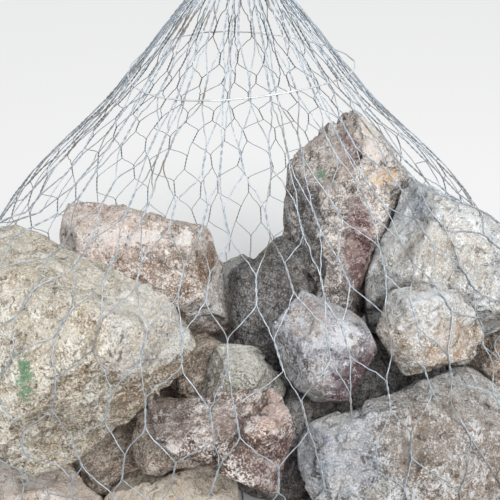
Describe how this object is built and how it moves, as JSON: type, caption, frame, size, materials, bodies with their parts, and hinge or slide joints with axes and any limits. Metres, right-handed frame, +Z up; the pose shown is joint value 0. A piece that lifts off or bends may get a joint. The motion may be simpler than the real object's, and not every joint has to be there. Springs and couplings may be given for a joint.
{
  "type": "sack gabion",
  "caption": "Boulders held in a bell-shaped sack of galvanised hexagonal wire mesh, gathered to a tied neck by which the sack is lifted and set down",
  "frame": {"origin": "on the ground at the middle of the sack's base, on the flat under the middle boulder", "axes": "+Z is up through the tied neck, -Y faces the front, +X is to the right seen from the front"},
  "size_m": [1.2756, 1.2306, 1.199],
  "materials": {
    "tan_stone": "rough, pitted tan and cream quarry stone with dried soil on it",
    "pink_stone": "rough pink and cream quarry stone, brown below",
    "red_brown_stone": "rough maroon, brown and white mottled quarry stone",
    "grey_stone": "rough pale grey and cream quarry stone",
    "mesh_wire": "dull galvanised steel wire, dusty in places",
    "lacing_wire": "dull galvanised lacing wire"
  },
  "bodies": {
    "root": {"boulder_big_left": "tan_stone", "boulder_upper_left": "pink_stone", "boulder_tall": "red_brown_stone", "boulder_right": "grey_stone", "boulder_small_right": "tan_stone", "boulder_middle": "grey_stone", "boulder_small_left": "grey_stone", "boulder_front": "red_brown_stone", "boulder_front_right": "grey_stone", "boulder_foot_front": "tan_stone", "boulder_inner_right": "grey_stone", "boulder_foot_left": "pink_stone", "boulder_far_right": "red_brown_stone", "boulder_inner_left": "red_brown_stone", "boulder_low_left": "tan_stone", "boulder_low_middle": "grey_stone", "boulder_low_right": "grey_stone", "boulder_inner_middle": "red_brown_stone", "boulder_wedge": "grey_stone", "boulder_base": "grey_stone", "boulder_foot_right": "tan_stone", "boulder_left_side": "tan_stone", "boulder_right_side": "grey_stone", "boulder_back_left": "pink_stone", "boulder_back_middle": "grey_stone", "boulder_back_right": "grey_stone", "boulder_back_foot_left": "tan_stone", "boulder_back_foot_right": "pink_stone", "cone_net_1": "mesh_wire", "cone_net_2": "mesh_wire", "cone_net_3": "mesh_wire", "cone_net_4": "mesh_wire", "cone_net_5": "mesh_wire", "belly_net_1": "mesh_wire", "belly_net_2": "mesh_wire", "belly_net_3": "mesh_wire", "belly_net_4": "mesh_wire", "belly_net_5": "mesh_wire", "gathered_neck": "mesh_wire", "drawn_in_base": "mesh_wire", "closing_ring": "lacing_wire", "neck_tie": "lacing_wire", "lacing_hoop": "lacing_wire"}
  },
  "joints": []
}
